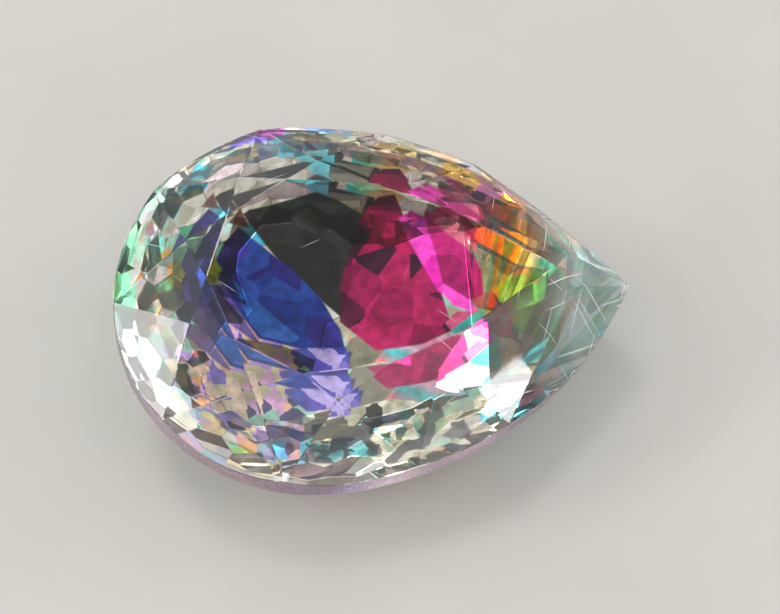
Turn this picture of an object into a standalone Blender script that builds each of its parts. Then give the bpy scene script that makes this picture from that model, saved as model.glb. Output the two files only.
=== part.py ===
"""A pear-cut quartz gemstone, lying on the lowest facet of its pavilion.

The stone is cut in Blender as it is cut on a lap. A pear-shaped preform with straight walls comes first, and
then one flat facet after another is ground into it. A facet is a plane, given by a point that it passes
through, the compass direction that it faces, and its slope from the girdle plane.

Cutting frame: the origin is in the middle of the stone's length, on the upper edge of the girdle, +X points to
the tip and +Z out through the table. The finished stone is then turned onto its resting facet, with the origin
in the middle of its bounding box, on the surface that it lies on. Metres and degrees.
"""

import math

import bmesh
import bpy
from mathutils import Matrix, Vector
from mathutils.geometry import intersect_line_line_2d

# Preform
LENGTH = 0.0200
WIDTH = 0.0150
HEAD_OVERRUN = 4.0  # how far the round head runs past the widest point before the straighter wings begin
GIRDLE_FLAT = 0.0006  # length of one flat of the girdle wall

# Heights
CROWN_HEIGHT = 0.0021
GIRDLE_HEIGHT = 0.0013
PREFORM_DEPTH = 0.0100  # of the block above and below the girdle's upper edge, enough for any cut
CUT_TOLERANCE = 1e-8  # a point this close to a cutting plane is on it

# Crown: kites run from the girdle to the table, and stars and girdle facets fill the corners between them.
KITE_DIRECTIONS = (180.0, 141.0, 102.0, 75.0, 60.0, 0.0)  # head to tip, one side of the stone
KITE_SLOPE = 31.5
CORNER_HEIGHT = 0.80  # where two kites, a star and a girdle facet meet, as a share of the crown's height

# Pavilion: three rings of small facets under the girdle and three of larger ones below them, each turned half a
# facet against the ring above. Slope, and how far in from the outline the ring starts.
PAVILION_RINGS = ((60.0, 0.0), (51.0, 0.0004), (43.0, 0.0010), (36.5, 0.0018), (30.0, 0.0028), (24.5, 0.0039))
TIP_INSET_RATIO = 1.30  # a ring's facet at the sharp tip sits further in than its neighbours

# Base of the pavilion: four broad, shallow facets aimed at the culet. Direction and slope.
CULET_X = -0.0012
PAVILION_DEPTH = 0.0047
REST_FACET = (-65.0, 14.0)
REST_OVERCUT = 0.00015  # how far past the culet the resting facet is cut, which makes it broad enough to stand on
OTHER_BASE_FACETS = ((25.0, 20.0), (107.0, 18.0), (217.0, 12.5))
TIP_BASE_FACET = (16.0, 29.0)  # takes over from the first of them towards the tip
TIP_BASE_START = 0.0055  # how far from the culet it begins

LENGTH_HEADING = 4.0  # where the stone's length points once it lies down, counter-clockwise from +X

HEAD_RADIUS = WIDTH / 2
HEAD_CENTRE = Vector((HEAD_RADIUS - LENGTH / 2, 0.0))
TIP = Vector((LENGTH / 2, 0.0))


def compass(direction):
    """Unit vector in the girdle plane."""
    angle = math.radians(direction)
    return Vector((math.cos(angle), math.sin(angle)))


def wing_arc():
    """Centre and radius of the arc that leaves the head without a kink and ends in the tip."""
    facing = compass(90.0 - HEAD_OVERRUN)
    start = HEAD_CENTRE + HEAD_RADIUS * facing
    to_tip = TIP - start
    radius = -to_tip.length_squared / (2.0 * facing.dot(to_tip))
    return start - radius * facing, radius


WING_CENTRE, WING_RADIUS = wing_arc()
WING_START = 90.0 - HEAD_OVERRUN
WING_END = math.degrees(math.atan2(TIP.y - WING_CENTRE.y, TIP.x - WING_CENTRE.x))


def outline_point(direction):
    """The point of the pear outline whose wall faces in this direction, from -180 to 180."""
    facing = compass(abs(direction))
    if abs(direction) >= WING_START:
        point = HEAD_CENTRE + HEAD_RADIUS * facing
    elif abs(direction) >= WING_END:
        point = WING_CENTRE + WING_RADIUS * facing
    else:
        point = TIP.copy()
    if direction < 0:
        point.y = -point.y
    return point


def arc_directions(first, last, radius):
    """Directions from first to last on an arc, one for each flat of the girdle wall."""
    count = round(math.radians(last - first) * radius / GIRDLE_FLAT)
    return [first + (last - first) * i / count for i in range(count + 1)]


def pear_outline():
    """The preform's outline, counter-clockwise from the tip."""
    upper = [outline_point(d) for d in arc_directions(WING_END, WING_START, WING_RADIUS)]
    upper += [outline_point(d) for d in arc_directions(WING_START, 180.0, HEAD_RADIUS)[1:]]
    lower = [Vector((p.x, -p.y)) for p in reversed(upper[1:-1])]
    return upper + lower


def preform():
    """A straight-walled pear block, taller than the finished stone at both ends."""
    curve = bpy.data.curves.new("preform", "CURVE")
    curve.dimensions = "2D"
    curve.fill_mode = "BOTH"
    curve.extrude = PREFORM_DEPTH
    outline = pear_outline()
    spline = curve.splines.new("POLY")
    spline.points.add(len(outline) - 1)
    spline.use_cyclic_u = True
    for place, point in zip(spline.points, outline):
        place.co = (point.x, point.y, 0.0, 1.0)
    block = bpy.data.objects.new("preform", curve)
    mesh = bmesh.new()
    mesh.from_mesh(block.to_mesh())
    bmesh.ops.remove_doubles(mesh, verts=mesh.verts, dist=CUT_TOLERANCE)
    bpy.data.objects.remove(block)
    return mesh


def grind(mesh, point, facing):
    """Removes what lies outside the plane and closes the stone with one flat facet."""
    cut = bmesh.ops.bisect_plane(
        mesh,
        geom=mesh.verts[:] + mesh.edges[:] + mesh.faces[:],
        dist=CUT_TOLERANCE,
        plane_co=point,
        plane_no=facing,
        clear_outer=True,
    )
    rim = [e for e in cut["geom_cut"] if isinstance(e, bmesh.types.BMEdge) and e.is_boundary]
    if rim:
        bmesh.ops.edgeloop_fill(mesh, edges=rim)


def slope_facing(direction, slope, side):
    """Outward normal of a facet; side is 1 on the crown and -1 on the pavilion."""
    level = compass(direction) * math.sin(math.radians(slope))
    return Vector((level.x, level.y, side * math.cos(math.radians(slope))))


def facing_of(corners):
    """Outward normal of the crown facet through three corners."""
    a, b, c = corners
    normal = (b - a).cross(c - a).normalized()
    return normal if normal.z > 0 else -normal


def all_round(one_side):
    """The directions from the head along one side to the tip, and back along the other side."""
    return list(one_side) + [-d for d in reversed(one_side) if 0.0 < d < 180.0]


def cut_crown(mesh):
    directions = all_round(KITE_DIRECTIONS)
    run = CROWN_HEIGHT / math.tan(math.radians(KITE_SLOPE))
    girdle_corners = [outline_point(d) for d in directions]
    table_corners = [p - run * compass(d) for p, d in zip(girdle_corners, directions)]
    for direction, corner in zip(directions, girdle_corners):
        grind(mesh, corner.to_3d(), slope_facing(direction, KITE_SLOPE, 1))
    for i, direction in enumerate(directions):
        after = (i + 1) % len(directions)
        shared = kite_corner(girdle_corners[i], direction, girdle_corners[after], directions[after])
        girdle_facet = (girdle_corners[i].to_3d(), girdle_corners[after].to_3d(), shared)
        lift = Vector((0.0, 0.0, CROWN_HEIGHT))
        star = (table_corners[i].to_3d() + lift, table_corners[after].to_3d() + lift, shared)
        grind(mesh, shared, facing_of(girdle_facet))
        grind(mesh, shared, facing_of(star))
    grind(mesh, Vector((0.0, 0.0, CROWN_HEIGHT)), Vector((0.0, 0.0, 1.0)))


def kite_corner(first, first_direction, second, second_direction):
    """Where the edge between two neighbouring kites is at the corner height."""
    height = CORNER_HEIGHT * CROWN_HEIGHT
    inset = height / math.tan(math.radians(KITE_SLOPE))
    ends = []
    for point, direction in ((first, first_direction), (second, second_direction)):
        facing = compass(direction)
        middle = point - inset * facing
        along = Vector((-facing.y, facing.x)) * LENGTH
        ends += [middle - along, middle + along]
    crossing = intersect_line_line_2d(*ends)
    return Vector((crossing.x, crossing.y, height))


def halfway(directions):
    """The directions between neighbours, head to tip."""
    return [(a + b) / 2 for a, b in zip(directions, directions[1:])]


def doubled(directions):
    """The directions with those between them, head to tip."""
    return sorted(directions + halfway(directions), reverse=True)


def ring_directions():
    """For each ring from the girdle down, where its facets face along one side of the stone."""
    under_kites = [d for d in KITE_DIRECTIONS if d > WING_END]
    large = doubled(under_kites + [WING_END])
    small = doubled(large)
    large_turned = halfway(large)
    small_turned = halfway(small)
    small_rings = [small_turned, small[:-1] + [0.0], small_turned]
    return small_rings + [large_turned, large[:-1] + [0.0], large_turned]


def cut_pavilion(mesh):
    depth = GIRDLE_HEIGHT
    slope_above = inset_above = 0.0
    for (slope, inset), one_side in zip(PAVILION_RINGS, ring_directions()):
        depth += (inset - inset_above) * math.tan(math.radians(slope_above))
        for direction in all_round(one_side):
            reach = inset * (TIP_INSET_RATIO if direction == 0.0 else 1.0)
            point = outline_point(direction) - reach * compass(direction)
            grind(mesh, Vector((point.x, point.y, -depth)), slope_facing(direction, slope, -1))
        slope_above, inset_above = slope, inset
    cut_base(mesh)


def cut_base(mesh):
    culet = Vector((CULET_X, 0.0, -GIRDLE_HEIGHT - PAVILION_DEPTH))
    underneath = slope_facing(*REST_FACET, -1)
    grind(mesh, culet - REST_OVERCUT * underneath, underneath)
    for direction, slope in OTHER_BASE_FACETS:
        grind(mesh, culet, slope_facing(direction, slope, -1))
    direction, slope = TIP_BASE_FACET
    level = TIP_BASE_START * compass(direction)
    rise = TIP_BASE_START * math.tan(math.radians(OTHER_BASE_FACETS[0][1]))
    grind(mesh, culet + Vector((level.x, level.y, rise)), slope_facing(direction, slope, -1))


def lie_down(mesh):
    """Turns the stone until its resting facet is underneath, and moves the origin to its resting place."""
    down = Vector((0.0, 0.0, -1.0))
    turn = slope_facing(*REST_FACET, -1).rotation_difference(down).to_matrix()
    length_axis = turn @ Vector((1.0, 0.0, 0.0))
    heading = math.radians(LENGTH_HEADING) - math.atan2(length_axis.y, length_axis.x)
    bmesh.ops.transform(mesh, matrix=(Matrix.Rotation(heading, 3, "Z") @ turn).to_4x4(), verts=mesh.verts)
    low = [min(v.co[i] for v in mesh.verts) for i in range(3)]
    high = [max(v.co[i] for v in mesh.verts) for i in range(3)]
    shift = Vector((-(low[0] + high[0]) / 2, -(low[1] + high[1]) / 2, -low[2]))
    bmesh.ops.translate(mesh, verts=mesh.verts, vec=shift)


def coated_quartz():
    material = bpy.data.materials.new("coated_quartz")
    material.use_nodes = True
    shader = material.node_tree.nodes["Principled BSDF"]
    shader.inputs["Base Color"].default_value = (0.86, 0.84, 0.90, 1.0)
    shader.inputs["Roughness"].default_value = 0.02
    shader.inputs["Metallic"].default_value = 0.0
    shader.inputs["IOR"].default_value = 1.544
    shader.inputs["Transmission Weight"].default_value = 1.0
    return material


def cut_stone():
    mesh = preform()
    cut_crown(mesh)
    cut_pavilion(mesh)
    lie_down(mesh)
    data = bpy.data.meshes.new("cut_stone")
    mesh.to_mesh(data)
    mesh.free()
    data.materials.append(coated_quartz())
    return bpy.data.objects.new("cut_stone", data)


def main():
    for old in list(bpy.data.objects):
        bpy.data.objects.remove(old, do_unlink=True)
    collection = bpy.data.collections.new("rainbow_quartz_gem")
    bpy.context.scene.collection.children.link(collection)
    collection.objects.link(cut_stone())


main()
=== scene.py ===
"""Looks for a pear-cut quartz gemstone whose pavilion carries a rainbow interference film.

The stone lies table-up on a pale floor, leaning on one of the broad facets beside its culet. Its shape is the
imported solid, and everything here is its finish, the hairline flats where its facets meet, and the studio.
"""

import math

import bpy
from mathutils import Euler, Matrix, Vector

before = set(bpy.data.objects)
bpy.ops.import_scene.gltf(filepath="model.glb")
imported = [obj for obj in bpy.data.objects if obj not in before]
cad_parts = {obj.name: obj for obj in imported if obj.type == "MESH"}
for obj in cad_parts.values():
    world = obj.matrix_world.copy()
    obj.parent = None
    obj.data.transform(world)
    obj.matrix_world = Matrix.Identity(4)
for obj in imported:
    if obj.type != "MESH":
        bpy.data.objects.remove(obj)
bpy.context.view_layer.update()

MM = 0.001

# How the stone lies: its cutting frame has +X to the tip and +Z out through the table, and starts in the middle
# of its length on the upper edge of the girdle.
STONE_MIDDLE = (0.0774 * MM, 0.0186 * MM, 5.5491 * MM)
STONE_LEAN = (math.radians(12.733), math.radians(5.868), math.radians(4.0))

# Places in the cutting frame, in mm
GIRDLE_LOWER_EDGE = -1.3
CULET_ALONG = -1.2  # the culet lies this far off the middle of the length, towards the head
FILM_OVERLAP = 0.02  # the film starts this little above the girdle's lower edge, so that no pavilion facet is bare
PATCH_EDGE = 0.05  # a patch of film fades in over this distance on each side of its edge

# Finish
QUARTZ_IOR = 1.544
QUARTZ_TINT = "#F2F4EE"
QUARTZ_ABSORPTION = 6.0  # takes a few hundredths of the light on its way through the stone
EDGE_WEAR = 0.025 * MM  # about twice a real worn edge, so that it shows
WORN_ANGLE = math.radians(4)  # facets that meet more sharply than this have a worn edge
SAME_POINT = 0.0005 * MM  # points closer than this are one corner
SAME_FACET = math.radians(0.3)  # triangles that meet at less than this are one facet
SAME_CORNER = 0.05 * MM  # corners closer than this leave no room for the flats between them
BOUNCES_IN_STONE = 18  # light meets up to a dozen facets before it leaves
MIRROR_BOUNCES = 14

# Cells and blotches in a mm
GHOST_SCALE = 0.78  # in the patches
TILE_SCALE = 0.85  # in the small tiles
CHIP_SCALE = 1.5  # where the patches are finest
MOTTLE_SCALE = 1.9

# Small tiles. Strength is the share of the light that the film sends back in its own colour.
FACET_STEP = (0.01, 0.01, 0.01)  # directions closer than this count as one facet's
FACET_OFFSET = (0.0031, 0.0037, 0.0029)  # keeps level and upright facets off the border between two steps
CELL_SHARE = 0.45  # how much of a tile's chance its cell decides. Its facet decides the rest.
CHANCE_GAIN, CHANCE_SHIFT = 1.8, -0.4  # spreads out chances again that the mix of two has drawn to the middle
HUE_JITTER = 0.07  # of a turn
RIM_STRETCH = 0.78  # the rim's colours start further out along the stone's length than across it
RIM_JITTER = 0.9  # mm
RIM_BAND = (4.2, 4.5)  # mm from the culet, where the rim's colours take over
PLAIN_BAND = (0.47, 0.53)  # about half of the tiles are plain
TILE_STRENGTH, TILE_STRENGTH_SPREAD = 0.62, 0.22
MOTTLE_DARKEST = 0.62  # what is left of a colour where the film is thinnest

# Broad facets of the base. The limits are of Layer Weight's facing.
SQUARE_ON, LOW_ANGLE = 0.27, 0.40
LOW_ANGLE_STRENGTH = 0.12
PAINTED_FIRE_HIGHLIGHT_STRENGTH = 0.95

# Crown
HAZE_SCALE = 0.9  # patches of haze in a mm
POLISH_ROUGHNESS = (0.01, 0.05)
TIP_BAND = (5.6, 7.4)  # mm along the stone, where the veil of fine wear over the tip begins and is full
TIP_VEIL = 0.26
# Hairline scratches: direction in degrees, and an offset that makes each set different
SCRATCH_SETS = ((24, 0.0), (-38, 7.0), (71, 13.0))
SCRATCH_LENGTH, SCRATCH_WIDTH = 3.6, 0.07  # mm, about three times a real one's width, so that they show
ANY_HEIGHT = 1000.0  # mm, so deep that a scratch stays the same down the crown's slope
WEAR_BAND = (3.5, 7.0)  # mm along the stone, from the least worn part to the most
WEAR_LIMIT = (0.86, 0.76)  # the noise that shows as a scratch at each end of that
SCRATCH_SOFTNESS = 0.025
SCRATCH_ROUGHNESS = 0.4
SCRATCH_CLEARNESS = 0.62

# Girdle
GIRDLE_LEVEL = 0.2  # a face that leans less than this towards the table is the girdle's
GRIT_SCALE = 14.0  # specks in a mm, coarser than a real wheel's grit, so that they show
GROUND_ROUGHNESS = (0.22, 0.42)
OVERSPRAY = 0.35  # share of the light that the overspray sends back in its own colour

# Camera. Its angles are in degrees.
IMAGE_WIDTH = 780
FOCAL_PIXELS = 1700
SENSOR = 36.0
CAMERA_AZIMUTH = 2.534
CAMERA_ELEVATION = 53.740
CAMERA_ROLL = -0.185
CAMERA_DISTANCE = 66.066 * MM
CAMERA_AIM = (0.558 * MM, 0.240 * MM)  # right and up from the middle of the stone
STONE_CENTRE_HEIGHT = 4.35 * MM

# Studio
FLOOR_SIZE = 2.0
BOARD_CLOUDS = 90.0  # in a metre
BOARD_ROUGHNESS = 0.8
FLOOR_GAP = 0.02 * MM  # keeps the resting facet from lying in the floor's own plane
STUDIO_BRIGHTNESS = 1.60
LAMP_DISTANCE = 0.40
# Lamps: name, azimuth, elevation, width and length in metres, and power in watts. Azimuths are counter-clockwise from
# +X, in degrees.
LAMPS = (
    ("head_side", -174, 23, 0.12, 0.12, 0.35),
    ("head_high", 177, 34, 0.08, 0.09, 0.17),
    ("overhead", 132, 71, 0.10, 0.10, 0.30),
    ("glint", -34.2, 23.6, 0.014, 0.014, 0.0085),
)
# Where the studio is darker or brighter, as azimuth, elevation, the angles where that is full and where it ends, and
# how bright. The table mirrors the first, and the crown's far facets mirror the second. The others light the film.
STUDIO_PARTS = (
    (46, 72, 14, 22, 0.3),
    (62, 8, 22, 30, 0.3),
    (-25, 24, 10, 30, 1.5),
    (-36, 58, 8, 18, 1.8),
    (3, 33, 8, 19, 1.5),
    (-57, 5, 9, 22, 1.9),
)

# Film patches in the stone's plan: corners in mm, counter-clockwise, then the colours that the cells pick from, and
# how much of the light the film sends back in its own colour. A later patch lies over an earlier one. Most are the
# film's own colours, but the dark patches of the window are painted shade, and the hot streak, its foot, the white
# cells beside it and the wedge of colours near the tip are painted highlights.
PATCHES = (
    (
        "lilac mosaic",
        ((-6.80, -0.10), (-6.20, -2.40), (-4.20, -3.60), (-1.60, -3.20), (-0.80, -1.30), (-2.50, -0.70)),
        ("#7A6CC4", "#E8B890", "#B090D0", "#98CCB8", "#5A44A8", "#EAD0B4", "#D8A8CC", "#4A4470", "#C8C098"),
        0.88,
    ),
    # Painted shade: these near-black colours stand in for the dark seen through the window beside the culet.
    (
        "painted shade window",
        (
            (-5.30, 4.10), (-3.20, 2.20), (-1.50, -0.10), (-0.90, -0.10),
            (0.20, 3.00), (0.50, 4.90), (-1.30, 5.38), (-4.60, 4.55),
        ),
        ("#2A2A26", "#232624", "#302E2A"),
        0.86,
    ),
    # Painted shade: dark teal-grey colours that stand in for the dark seen through the window's upper strip.
    (
        "painted shade strip",
        ((-3.90, 4.10), (-1.30, 4.70), (-0.60, 5.20), (-1.30, 5.38), (-4.60, 4.55)),
        ("#1E3432", "#242E2A"),
        0.86,
    ),
    (
        "blue lens",
        (
            (-6.02, 1.94), (-4.45, -0.60), (-2.60, -1.12), (-1.07, -1.15), (-1.17, -0.25),
            (-1.81, 0.99), (-3.02, 2.28), (-5.02, 3.93), (-5.61, 3.23),
        ),
        ("#1C3488", "#2A4CA8", "#2C2880", "#203E98"),
        0.93,
    ),
    (
        "azure edge",
        ((-5.30, 1.78), (-4.75, 0.10), (-4.35, -0.50), (-3.20, -0.80), (-2.82, -0.60), (-4.00, 0.60)),
        ("#2C64B8", "#2450A8", "#386CBC"),
        0.93,
    ),
    (
        "violet mosaic",
        ((-3.40, -1.10), (-2.40, -2.10), (-0.95, -2.10), (-1.05, -1.05), (-2.60, -1.02)),
        ("#3840A0", "#8070C8", "#5048A8", "#B0A0D8", "#4C58B0", "#E0B898"),
        0.90,
    ),
    (
        "khaki mosaic",
        ((-2.60, -2.30), (-2.70, -4.60), (1.00, -5.20), (3.20, -4.30), (2.60, -2.30), (0.20, -1.80)),
        ("#E8E2C6", "#34342E", "#C4C0A0", "#F2EEDC", "#5C5A4A", "#D6D0B0", "#A8CCB8"),
        0.90,
    ),
    (
        "gold shoulder",
        ((2.60, 4.40), (4.20, 3.70), (6.30, 2.30), (6.60, 2.90), (4.60, 4.90), (3.20, 5.60)),
        ("#F8B838", "#E8C468", "#FFA028", "#F0D8A0", "#E890C0", "#F8C850"),
        0.92,
    ),
    (
        "cyan cheek",
        ((6.60, 1.30), (8.80, 0.70), (9.50, 0.90), (8.00, 2.40), (6.90, 2.60)),
        ("#38E0D8", "#58E8B8", "#F8E8B0", "#40D0E8"),
        0.92,
    ),
    (
        "cyan head",
        ((-6.40, 4.80), (-5.30, 4.80), (-5.20, 5.60), (-6.20, 5.90)),
        ("#20C8F0", "#40D8F8"),
        0.95,
    ),
    (
        "violet top",
        ((-4.80, 6.40), (-3.10, 6.80), (-2.90, 7.70), (-4.80, 7.30)),
        ("#6848E0", "#F060E8", "#8058E8"),
        0.95,
    ),
    (
        "cyan crest",
        ((-3.10, 5.70), (-1.20, 5.00), (-0.90, 5.60), (-1.40, 7.10), (-2.90, 6.90)),
        ("#20C8F8", "#4A5A58", "#30D8F0", "#C8C8B0", "#70E0F0"),
        0.95,
    ),
    (
        "violet end",
        ((-6.04, 2.45), (-5.48, 2.30), (-4.60, 2.90), (-5.02, 3.85), (-5.61, 3.30)),
        ("#4438A0", "#342C88", "#4C3CA8"),
        0.93,
    ),
    (
        "purple wing",
        ((-6.20, 1.55), (-6.15, -0.30), (-4.60, -0.75), (-4.34, -0.95), (-5.70, 1.60)),
        ("#6C5CA0", "#7C6CA0", "#5C3CA0", "#786898"),
        0.86,
    ),
    (
        "smoke corner",
        ((-1.47, 5.20), (-0.06, 4.34), (0.25, 4.99)),
        ("#88846F", "#7C7868"),
        0.85,
    ),
    (
        "brown nick",
        ((-5.41, 4.05), (-4.55, 3.85), (-4.91, 4.64)),
        ("#905838", "#784830"),
        0.85,
    ),
    (
        "crimson face",
        (
            (-1.18, 0.10), (0.13, -1.30), (2.05, -1.15), (3.19, -0.75), (2.86, 1.00),
            (1.30, 4.95), (0.60, 4.90), (0.11, 4.45), (-0.46, 3.34), (-1.00, 1.78),
        ),
        ("#A00C4C", "#540E34", "#B01054", "#3C122C", "#8C1048", "#A81A56"),
        0.93,
    ),
    (
        "magenta face",
        (
            (2.94, 1.13), (3.77, 0.32), (4.56, 0.48), (4.62, 1.18),
            (4.32, 2.07), (3.64, 3.28), (2.50, 4.30), (2.30, 3.70),
        ),
        ("#B01868", "#C42078", "#A41860"),
        0.93,
    ),
    (
        "pink crest",
        ((2.60, 4.00), (4.33, 2.28), (4.60, 3.20), (3.40, 4.60)),
        ("#D83C68", "#E07088", "#C02858"),
        0.88,
    ),
    # Partly painted highlight: the film's magenta, made hot so that it stands in for a lamp's streak inside the stone.
    (
        "magenta film and painted highlight",
        ((1.41, 4.04), (2.76, 0.86), (3.10, 1.00), (2.80, 2.42), (2.60, 3.90), (1.90, 4.30)),
        ("#F028A8", "#FF48C8", "#E828B0"),
        0.96,
    ),
    # Partly painted highlight: hot pink that stands in for a lamp's glint at the streak's lower end.
    (
        "pink foot, painted highlight",
        ((2.76, 1.00), (3.28, 0.27), (4.37, -0.31), (3.95, 0.40), (3.00, 1.20)),
        ("#FF40B8", "#FF80D8", "#FF50C8"),
        0.96,
    ),
    (
        "smoke face",
        ((4.50, 0.35), (6.20, 1.26), (4.81, 2.20), (4.50, 1.60)),
        ("#A09878", "#B8B090", "#908060"),
        0.82,
    ),
    (
        "olive face",
        ((4.80, 0.73), (5.07, 0.13), (5.76, -0.43), (6.17, -0.54), (6.78, 0.82), (6.72, 1.19), (5.95, 1.37)),
        ("#B8A850", "#A8C840", "#A87848", "#F09850", "#B0A848"),
        0.92,
    ),
    (
        "teal tip",
        ((6.60, -2.60), (9.60, -0.60), (9.95, 0.00), (9.60, 0.60), (7.40, 1.00), (6.70, 0.60), (6.20, -0.60)),
        ("#78DCC8", "#58C8C0", "#C8F0DC", "#80C8A8"),
        0.74,
    ),
    # Partly painted highlight: cyan film colours, with near-white cells that stand in for a lamp's glint.
    (
        "cyan film and painted white glint",
        ((3.30, -2.30), (3.60, -3.70), (4.60, -4.10), (6.30, -2.90), (5.60, -1.80)),
        ("#38D8F0", "#F4FFFF", "#60E8F0", "#FFB8D0"),
        0.92,
    ),
    (
        "green rim",
        ((-9.95, 4.90), (-9.95, 0.30), (-8.30, 0.30), (-8.10, 4.90)),
        ("#48D088", "#70E0A8", "#30C878", "#98E0B0"),
        0.88,
    ),
    (
        "amber tile",
        ((-6.70, 2.50), (-6.60, 1.75), (-6.05, 1.60), (-5.75, 2.20), (-6.10, 2.75)),
        ("#FFC828", "#F8B820"),
        0.90,
    ),
    (
        "rose foot",
        ((3.96, 0.35), (4.44, -0.03), (5.02, -0.10), (4.80, 0.65)),
        ("#D06868", "#C85060"),
        0.88,
    ),
    (
        "candy foot",
        ((2.90, -0.40), (3.20, -0.90), (4.40, -1.30), (4.36, -0.08), (3.40, 0.00)),
        ("#B83868", "#48A8A0", "#C85078", "#389890"),
        0.92,
    ),
    (
        "peach foot",
        ((4.40, -1.50), (5.10, -1.50), (5.30, -0.60), (4.85, -0.20)),
        ("#FFB890", "#FFA078"),
        0.90,
    ),
)
# These are on the broad facets of the base, which show their colours only to light that meets them squarely
BROAD_PATCHES = (
    "painted shade window", "painted shade strip", "blue lens", "azure edge", "violet end", "purple wing", "smoke corner", "brown nick",
    "crimson face", "magenta face", "pink crest", "magenta film and painted highlight", "pink foot, painted highlight",
)
# A painted highlight: its colours run from red through gold to near-white along the stone, where a lamp's glint
# would be seen inside the stone. Its stops are in cm from the middle.
PAINTED_FIRE_HIGHLIGHT_PATCH = ((4.30, 2.90), (5.92, 1.50), (6.85, 1.15), (6.60, 2.00), (4.70, 3.80))
PAINTED_FIRE_HIGHLIGHT = ((0.40, "#FF3848"), (0.48, "#FF6A28"), (0.56, "#FFA020"), (0.63, "#FFE070"), (0.68, "#FFFFF0"))

# Film colours by compass direction from the culet, as shares of a turn from the head round past the lower side
RIM_COLOURS = (
    (0.00, "#78DCA8"), (0.04, "#C0A8E8"), (0.09, "#50C8B0"), (0.12, "#A880D8"), (0.145, "#FF9830"), (0.165, "#A8E030"),
    (0.20, "#F0B898"), (0.24, "#C8A8D8"), (0.27, "#F8D0A0"), (0.32, "#F0A868"), (0.38, "#F8C8B0"), (0.43, "#28D8E8"),
    (0.47, "#60E8E0"), (0.50, "#B0D8C8"), (0.53, "#60D0A8"), (0.56, "#58D8E8"), (0.59, "#FFB040"), (0.64, "#F0D070"),
    (0.67, "#E0B068"), (0.70, "#30C888"), (0.75, "#20D0F0"), (0.785, "#6850E0"), (0.81, "#20C8F8"), (0.84, "#C8C0A0"),
    (0.87, "#98D0D8"), (0.90, "#A0E0B8"), (0.95, "#80DCA8"), (1.00, "#78DCA8"),
)
HEART_COLOURS = (
    (0.00, "#F8B060"), (0.04, "#D8A8C0"), (0.08, "#9080D8"), (0.11, "#F0C088"), (0.14, "#9888E0"), (0.18, "#D0A0D8"),
    (0.22, "#F0C0A0"), (0.26, "#D8C8A0"), (0.31, "#B0E0C8"), (0.36, "#F07888"), (0.40, "#38D0D0"), (0.44, "#FF90B8"),
    (0.47, "#80E0D8"), (0.52, "#C0C888"), (0.58, "#F8B850"), (0.64, "#F06888"), (0.70, "#C8D0B8"), (0.78, "#B8B8A0"),
    (0.86, "#E0DCC4"), (0.90, "#F0DCB0"), (0.93, "#FFC468"), (0.955, "#F8E0A0"), (0.98, "#FFB878"), (1.00, "#F8B878"),
)
PLAIN_COLOURS = ((0.0, "#54524A"), (0.04, "#908C74"), (0.20, "#BCB898"), (0.48, "#DCD8BC"), (0.75, "#F2F0E2"))


def linear(hex_code):
    """sRGB hex to linear RGBA."""
    channels = [int(hex_code[i : i + 2], 16) / 255 for i in (1, 3, 5)]
    return (*[c / 12.92 if c <= 0.04045 else ((c + 0.055) / 1.055) ** 2.4 for c in channels], 1.0)


def add(tree, kind, inputs=None, stops=(), **settings):
    """Adds a shader node with its settings and links. Inputs are numbers, vectors, hex colours, nodes or outputs."""
    made = tree.nodes.new("ShaderNode" + kind)
    for name, value in settings.items():
        setattr(made, name, value)
    for name, value in (inputs or {}).items():
        if isinstance(value, bpy.types.Node):
            value = next(output for output in value.outputs if output.enabled)
        if isinstance(value, bpy.types.NodeSocket):
            tree.links.new(value, made.inputs[name])
        else:
            made.inputs[name].default_value = linear(value) if isinstance(value, str) else value
    for i, (position, colour) in enumerate(stops):
        elements = made.color_ramp.elements
        element = elements[i] if i < 2 else elements.new(position)
        element.position = position
        element.color = linear(colour) if isinstance(colour, str) else (colour, colour, colour, 1.0)
    return made


def inside(tree, plan, corners):
    """1 inside a patch of the stone's plan and 0 outside it. Its corners go counter-clockwise."""
    outside = None
    for (x0, y0), (x1, y1) in zip(corners, corners[1:] + corners[:1]):
        length = math.hypot(x1 - x0, y1 - y0)
        facing = ((y1 - y0) / length, (x0 - x1) / length)
        edge = (*facing, -facing[0] * x0 - facing[1] * y0)
        reach = add(tree, "VectorMath", {0: plan, 1: edge}, operation="DOT_PRODUCT").outputs["Value"]
        outside = add(tree, "Math", {0: reach, 1: outside}, operation="MAXIMUM") if outside else reach
    return add(
        tree,
        "MapRange",
        {"Value": outside, "From Min": PATCH_EDGE, "From Max": -PATCH_EDGE},
        interpolation_type="SMOOTHSTEP",
    )


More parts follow.
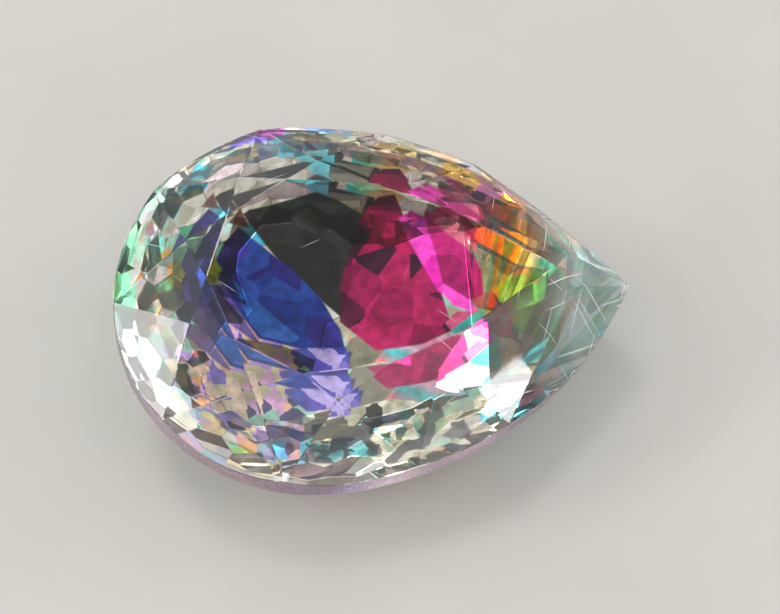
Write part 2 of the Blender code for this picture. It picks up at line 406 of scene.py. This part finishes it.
def film_chances(tree, cutting, normal):
    """Chance values from 0 to 1: three for each small tile, one for each ghost cell and one for each chip.

    A tile's come from its facet's direction and from a cell, because a facet mirrors several others at once. Ghost
    cells are the pieces that the broad facets beside the culet are broken up into by what they mirror.
    """
    # Without its signs, a facet's direction is the same from inside the stone as from outside
    either_side = add(tree, "VectorMath", {0: normal}, operation="ABSOLUTE")
    nudged = add(tree, "VectorMath", {0: either_side, 1: FACET_OFFSET}, operation="ADD")
    snapped = add(tree, "VectorMath", {0: nudged, 1: FACET_STEP}, operation="SNAP")
    by_facet = add(tree, "TexWhiteNoise", {"Vector": snapped}).outputs["Color"]
    by_tile = add(tree, "TexVoronoi", {"Vector": cutting, "Scale": TILE_SCALE}, feature="F1").outputs["Color"]
    chance = add(tree, "Mix", {0: CELL_SHARE, 6: by_facet, 7: by_tile}, data_type="RGBA", blend_type="MIX")
    gain, shift = ((value, value, value) for value in (CHANCE_GAIN, CHANCE_SHIFT))
    spread = add(tree, "VectorMath", {0: chance, 1: gain, 2: shift}, operation="MULTIPLY_ADD")
    tile = add(tree, "SeparateXYZ", {0: spread}).outputs

    by_ghost = add(tree, "TexVoronoi", {"Vector": cutting, "Scale": GHOST_SCALE}, feature="F1").outputs["Color"]
    ghost = add(tree, "SeparateColor", {0: by_ghost}).outputs[0]
    by_chip = add(tree, "TexVoronoi", {"Vector": cutting, "Scale": CHIP_SCALE}, feature="F1", distance="MANHATTAN")
    chip = add(tree, "SeparateColor", {0: by_chip.outputs["Color"]}).outputs[0]
    return tile, ghost, chip


def small_tiles(tree, along, across, tile):
    """Colour and strength of the small tiles, by compass direction and distance from the culet. Half are plain."""
    hue_chance, plain_chance, shade_chance = tile
    east = add(tree, "Math", {0: along, 1: -CULET_ALONG}, operation="ADD")
    compass = add(tree, "Math", {0: across, 1: east}, operation="ARCTAN2")
    turn = add(tree, "Math", {0: compass, 1: 1 / math.tau, 2: 0.5}, operation="MULTIPLY_ADD")
    drift = add(tree, "Math", {0: hue_chance, 1: HUE_JITTER, 2: -HUE_JITTER / 2}, operation="MULTIPLY_ADD")
    shaken = add(tree, "Math", {0: turn, 1: drift}, operation="ADD")
    shaken = add(tree, "Math", {0: shaken}, operation="FRACT")
    rim = add(tree, "ValToRGB", {0: shaken}, RIM_COLOURS)
    heart = add(tree, "ValToRGB", {0: shaken}, HEART_COLOURS)

    eastward = add(tree, "Math", {0: east, 1: RIM_STRETCH}, operation="MULTIPLY")
    off_centre = add(tree, "CombineXYZ", {0: eastward, 1: across})
    distance = add(tree, "VectorMath", {0: off_centre}, operation="LENGTH").outputs["Value"]
    jittered = add(tree, "Math", {0: shade_chance, 1: RIM_JITTER, 2: distance}, operation="MULTIPLY_ADD")
    at_rim = add(tree, "MapRange", {"Value": jittered, "From Min": RIM_BAND[0], "From Max": RIM_BAND[1]})
    film = add(tree, "Mix", {0: at_rim, 6: heart, 7: rim}, data_type="RGBA")

    plain = add(tree, "ValToRGB", {0: shade_chance}, PLAIN_COLOURS)
    plain.color_ramp.interpolation = "CONSTANT"
    is_plain = add(tree, "MapRange", {"Value": plain_chance, "From Min": PLAIN_BAND[0], "From Max": PLAIN_BAND[1]})
    colour = add(tree, "Mix", {0: is_plain, 6: film, 7: plain}, data_type="RGBA")
    strength = add(
        tree, "Math", {0: shade_chance, 1: TILE_STRENGTH_SPREAD, 2: TILE_STRENGTH}, operation="MULTIPLY_ADD"
    )
    return colour, strength


def large_patches(tree, plan, along, ghost, chip, colour, strength):
    """Lays the large patches of colour over the small tiles.

    Light that meets a facet at a low angle is reflected whole, whatever its colour, so the colour of the broad
    facets fades there.
    """
    slant = add(tree, "LayerWeight").outputs["Facing"]
    square = add(
        tree,
        "MapRange",
        {"Value": slant, "From Min": SQUARE_ON, "From Max": LOW_ANGLE, "To Min": 1.0, "To Max": LOW_ANGLE_STRENGTH},
    )
    for name, corners, colours, patch_strength in PATCHES:
        mask = inside(tree, plan, corners)
        mask.label = name
        stops = [(i / len(colours), hue) for i, hue in enumerate(colours)]
        cells = add(tree, "ValToRGB", {0: chip if name.endswith("mosaic") else ghost}, stops)
        cells.color_ramp.interpolation = "CONSTANT"
        colour = add(tree, "Mix", {0: mask, 6: colour, 7: cells}, data_type="RGBA")
        if name in BROAD_PATCHES:
            patch_strength = add(tree, "Math", {0: square, 1: patch_strength}, operation="MULTIPLY")
        strength = add(tree, "Mix", {0: mask, 2: strength, 3: patch_strength}, data_type="FLOAT")
    # A painted highlight, red through gold to near-white, laid over the film where a lamp's glint is seen inside.
    mask = inside(tree, plan, PAINTED_FIRE_HIGHLIGHT_PATCH)
    along_in_cm = add(tree, "Math", {0: along, 1: 0.1}, operation="MULTIPLY")
    painted_fire_highlight = add(tree, "ValToRGB", {0: along_in_cm}, PAINTED_FIRE_HIGHLIGHT)
    colour = add(tree, "Mix", {0: mask, 6: colour, 7: painted_fire_highlight}, data_type="RGBA")
    strength = add(tree, "Mix", {0: mask, 2: strength, 3: PAINTED_FIRE_HIGHLIGHT_STRENGTH}, data_type="FLOAT")
    return colour, strength


def hairline_scratches(tree, cutting, along):
    """1 on the hairline scratches of wear and 0 between them. They lie thickest near the tip."""
    scratched = None
    for angle, seed in SCRATCH_SETS:
        grain = add(
            tree,
            "Mapping",
            {
                "Vector": cutting,
                "Location": (seed, seed, 0.0),
                "Rotation": (0.0, 0.0, math.radians(angle)),
                "Scale": (SCRATCH_LENGTH, SCRATCH_WIDTH, ANY_HEIGHT),
            },
            vector_type="TEXTURE",
        )
        lines = add(tree, "TexNoise", {"Vector": grain, "Scale": 1.0, "Detail": 0.0}).outputs["Fac"]
        scratched = add(tree, "Math", {0: lines, 1: scratched}, operation="MAXIMUM") if scratched else lines
    limit = add(
        tree,
        "MapRange",
        {
            "Value": along,
            "From Min": WEAR_BAND[0],
            "From Max": WEAR_BAND[1],
            "To Min": WEAR_LIMIT[0],
            "To Max": WEAR_LIMIT[1],
        },
    )
    excess = add(tree, "Math", {0: scratched, 1: limit}, operation="SUBTRACT")
    return add(tree, "MapRange", {"Value": excess, "From Min": 0.0, "From Max": SCRATCH_SOFTNESS})


def coated_quartz():
    """Colourless quartz, sawn and polished, with a titanium film fired on below the girdle.

    The bare crown stays clear and glossy. The film sends most colours of light back and lets little through, so the
    eye sees the pavilion as a mosaic of spectral colours. A few of its patches are painted light: dark ones are
    painted shade, standing in for the dark seen through the pavilion's window, and the hottest and palest ones are
    painted highlights. The girdle is left as ground, with a grey-pink bloom of film overspray.
    """
    material = bpy.data.materials.new("coated_quartz")
    material.use_nodes = True
    tree = material.node_tree
    shader = tree.nodes["Principled BSDF"]
    shader.inputs["IOR"].default_value = QUARTZ_IOR

    where = add(tree, "TexCoord").outputs["Object"]
    normal = add(tree, "NewGeometry").outputs["True Normal"]
    cutting = add(
        tree,
        "Mapping",
        {"Vector": where, "Location": STONE_MIDDLE, "Rotation": STONE_LEAN, "Scale": (MM, MM, MM)},
        vector_type="TEXTURE",
    )
    along, across, height = add(tree, "SeparateXYZ", {0: cutting}).outputs
    plan = add(tree, "CombineXYZ", {0: along, 1: across, 2: 1.0})
    pavilion = add(tree, "Math", {0: height, 1: GIRDLE_LOWER_EDGE + FILM_OVERLAP}, operation="LESS_THAN")
    bare = add(tree, "Math", {0: 1.0, 1: pavilion}, operation="SUBTRACT")
    table_normal = Euler(STONE_LEAN).to_matrix() @ Vector((0.0, 0.0, 1.0))
    level = add(tree, "VectorMath", {0: normal, 1: table_normal}, operation="DOT_PRODUCT").outputs["Value"]
    level = add(tree, "Math", {0: level}, operation="ABSOLUTE")
    girdle = add(tree, "Math", {0: level, 1: GIRDLE_LEVEL}, operation="LESS_THAN")

    # The film. It is a little thinner in places, which mottles its colours.
    tile, ghost, chip = film_chances(tree, cutting, normal)
    colour, strength = small_tiles(tree, along, across, tile)
    colour, strength = large_patches(tree, plan, along, ghost, chip, colour, strength)
    blotches = add(tree, "TexNoise", {"Vector": cutting, "Scale": MOTTLE_SCALE, "Detail": 3.0}).outputs["Fac"]
    mottle = add(
        tree,
        "MapRange",
        {"Value": blotches, "From Min": 0.34, "From Max": 0.62, "To Min": MOTTLE_DARKEST, "To Max": 1.0},
    )
    colour = add(tree, "VectorMath", {0: colour, 3: mottle}, operation="SCALE")

    # The crown: polish that is hazy in places, and scratches, which are whiter and duller than what is round them.
    # Fine wear veils the tip.
    scratches = hairline_scratches(tree, cutting, along)
    haze = add(tree, "TexNoise", {"Vector": cutting, "Scale": HAZE_SCALE, "Detail": 3.0}).outputs["Fac"]
    polish = add(
        tree,
        "MapRange",
        {
            "Value": haze,
            "From Min": 0.35,
            "From Max": 0.75,
            "To Min": POLISH_ROUGHNESS[0],
            "To Max": POLISH_ROUGHNESS[1],
        },
    )
    worn = add(tree, "Mix", {0: scratches, 2: polish, 3: SCRATCH_ROUGHNESS}, data_type="FLOAT")
    frosted = add(tree, "Math", {0: scratches, 1: bare}, operation="MULTIPLY")
    clear = add(tree, "MapRange", {"Value": frosted, "To Min": 1.0, "To Max": SCRATCH_CLEARNESS})
    tip = add(
        tree,
        "MapRange",
        {"Value": along, "From Min": TIP_BAND[0], "From Max": TIP_BAND[1], "To Min": 0.0, "To Max": TIP_VEIL},
    )
    veil = add(tree, "Math", {0: tip, 1: haze}, operation="MULTIPLY")
    veil = add(tree, "Math", {0: veil, 1: bare}, operation="MULTIPLY")
    clear = add(tree, "Math", {0: clear, 1: veil}, operation="SUBTRACT")

    # The girdle
    grit = add(tree, "TexNoise", {"Vector": cutting, "Scale": GRIT_SCALE, "Detail": 4.0}).outputs["Fac"]
    bloom = add(tree, "ValToRGB", {0: grit}, ((0.35, "#B898B8"), (0.65, "#E4C8D8")))
    ground = add(
        tree,
        "MapRange",
        {
            "Value": grit,
            "From Min": 0.3,
            "From Max": 0.7,
            "To Min": GROUND_ROUGHNESS[0],
            "To Max": GROUND_ROUGHNESS[1],
        },
    )

    base = add(tree, "Mix", {0: pavilion, 6: "#FFFFFF", 7: colour}, data_type="RGBA")
    base = add(tree, "Mix", {0: girdle, 6: base, 7: bloom}, data_type="RGBA")
    metal = add(tree, "Math", {0: pavilion, 1: strength}, operation="MULTIPLY")
    metal = add(tree, "Mix", {0: girdle, 2: metal, 3: OVERSPRAY}, data_type="FLOAT")
    rough = add(tree, "Mix", {0: pavilion, 2: worn, 3: 0.0}, data_type="FLOAT")
    rough = add(tree, "Mix", {0: girdle, 2: rough, 3: ground}, data_type="FLOAT")
    body = add(tree, "VolumeAbsorption", {"Color": QUARTZ_TINT, "Density": QUARTZ_ABSORPTION})
    tree.links.new(body.outputs["Volume"], tree.nodes["Material Output"].inputs["Volume"])
    tree.links.new(base.outputs[2], shader.inputs["Base Color"])
    tree.links.new(metal.outputs[0], shader.inputs["Metallic"])
    tree.links.new(rough.outputs[0], shader.inputs["Roughness"])
    tree.links.new(clear.outputs[0], shader.inputs["Transmission Weight"])
    return material


def matt_board():
    """Uncoated grey-white board, pressed from pulp, which leaves it matt and very faintly cloudy."""
    material = bpy.data.materials.new("matt_board")
    material.use_nodes = True
    tree = material.node_tree
    shader = tree.nodes["Principled BSDF"]
    where = add(tree, "TexCoord").outputs["Object"]
    clouds = add(tree, "TexNoise", {"Vector": where, "Scale": BOARD_CLOUDS, "Detail": 6.0}).outputs["Fac"]
    pulp = add(tree, "ValToRGB", {0: clouds}, ((0.3, "#AAA7A2"), (0.7, "#B0ADA8")))
    tree.links.new(pulp.outputs["Color"], shader.inputs["Base Color"])
    shader.inputs["Roughness"].default_value = BOARD_ROUGHNESS
    return material


def wear_edges(stone):
    """Turns each sharp facet edge into a hairline flat, which catches the light as worn edges do.

    Before that, the triangles of each facet are joined, and corners that nearly coincide are merged, so that the
    flats meet cleanly.
    """
    for kind, settings in (
        ("WELD", {"merge_threshold": SAME_POINT}),
        ("DECIMATE", {"decimate_type": "DISSOLVE", "angle_limit": SAME_FACET}),
        ("WELD", {"merge_threshold": SAME_CORNER}),
        (
            "BEVEL",
            {
                "width": EDGE_WEAR,
                "limit_method": "ANGLE",
                "angle_limit": WORN_ANGLE,
                "use_clamp_overlap": False,
                "loop_slide": False,
            },
        ),
    ):
        modifier = stone.modifiers.new(kind.lower(), kind)
        for name, value in settings.items():
            setattr(modifier, name, value)


def add_floor():
    bpy.ops.mesh.primitive_plane_add(size=FLOOR_SIZE, location=(0.0, 0.0, -FLOOR_GAP))
    floor = bpy.context.object
    floor.name = "floor"
    floor.data.materials.append(matt_board())


def add_camera():
    """The camera looks down on the table. Its azimuth is clockwise from looking along +Y."""
    azimuth, elevation, roll = (math.radians(a) for a in (CAMERA_AZIMUTH, CAMERA_ELEVATION, CAMERA_ROLL))
    back = Vector(
        (
            -math.sin(azimuth) * math.cos(elevation),
            -math.cos(azimuth) * math.cos(elevation),
            math.sin(elevation),
        )
    )
    right = Vector((math.cos(azimuth), -math.sin(azimuth), 0.0))
    right = Matrix.Rotation(roll, 3, back) @ right
    up = back.cross(right)
    data = bpy.data.cameras.new("camera")
    data.sensor_width = SENSOR
    data.lens = SENSOR * FOCAL_PIXELS / IMAGE_WIDTH
    data.clip_start = MM
    camera = bpy.data.objects.new("camera", data)
    bpy.context.scene.collection.objects.link(camera)
    aim = Vector((0.0, 0.0, STONE_CENTRE_HEIGHT)) + right * CAMERA_AIM[0] + up * CAMERA_AIM[1]
    turned = Matrix((right, up, back)).transposed().to_4x4()
    camera.matrix_world = Matrix.Translation(aim + back * CAMERA_DISTANCE) @ turned
    bpy.context.scene.camera = camera


def direction(azimuth, elevation):
    """A unit vector. Azimuth is counter-clockwise from +X, in degrees."""
    a, e = math.radians(azimuth), math.radians(elevation)
    return Vector((math.cos(a) * math.cos(e), math.sin(a) * math.cos(e), math.sin(e)))


def add_lamp(name, azimuth, elevation, width, length, power):
    """A rectangular lamp that faces the stone."""
    away = direction(azimuth, elevation)
    data = bpy.data.lights.new(name, "AREA")
    data.shape = "RECTANGLE"
    data.size = width
    data.size_y = length
    data.energy = power
    lamp = bpy.data.objects.new(name, data)
    lamp.location = away * LAMP_DISTANCE
    lamp.rotation_euler = away.to_track_quat("Z", "Y").to_euler()
    bpy.context.scene.collection.objects.link(lamp)


def light_studio():
    """Lamps, and pale surroundings of uneven brightness, because a stone shows its facets by what they mirror."""
    world = bpy.data.worlds.new("studio")
    bpy.context.scene.world = world
    world.use_nodes = True
    tree = world.node_tree
    sky = add(tree, "TexCoord").outputs["Generated"]
    clouds = add(tree, "TexNoise", {"Vector": sky, "Scale": 2.4, "Detail": 1.0}).outputs["Fac"]
    light = add(tree, "ValToRGB", {0: clouds}, ((0.40, 0.50), (0.60, 1.0)))
    for azimuth, elevation, full, end, brightness in STUDIO_PARTS:
        middle = direction(azimuth, elevation)
        nearness = add(tree, "VectorMath", {0: sky, 1: middle}, operation="DOT_PRODUCT").outputs["Value"]
        full, end = (math.cos(math.radians(angle)) for angle in (full, end))
        part = add(
            tree,
            "MapRange",
            {"Value": nearness, "From Min": end, "From Max": full, "To Min": 1.0, "To Max": brightness},
        )
        light = add(tree, "VectorMath", {0: light, 3: part}, operation="SCALE")
    tree.links.new(light.outputs[0], tree.nodes["Background"].inputs["Color"])
    tree.nodes["Background"].inputs["Strength"].default_value = STUDIO_BRIGHTNESS
    for lamp in LAMPS:
        add_lamp(*lamp)


def main():
    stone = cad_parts["cut_stone"]
    wear_edges(stone)
    stone.data.materials.clear()
    stone.data.materials.append(coated_quartz())
    add_floor()
    add_camera()
    light_studio()
    scene = bpy.context.scene
    scene.view_settings.view_transform = "Standard"
    scene.cycles.max_bounces = BOUNCES_IN_STONE
    scene.cycles.glossy_bounces = MIRROR_BOUNCES
    scene.cycles.transmission_bounces = BOUNCES_IN_STONE


main()
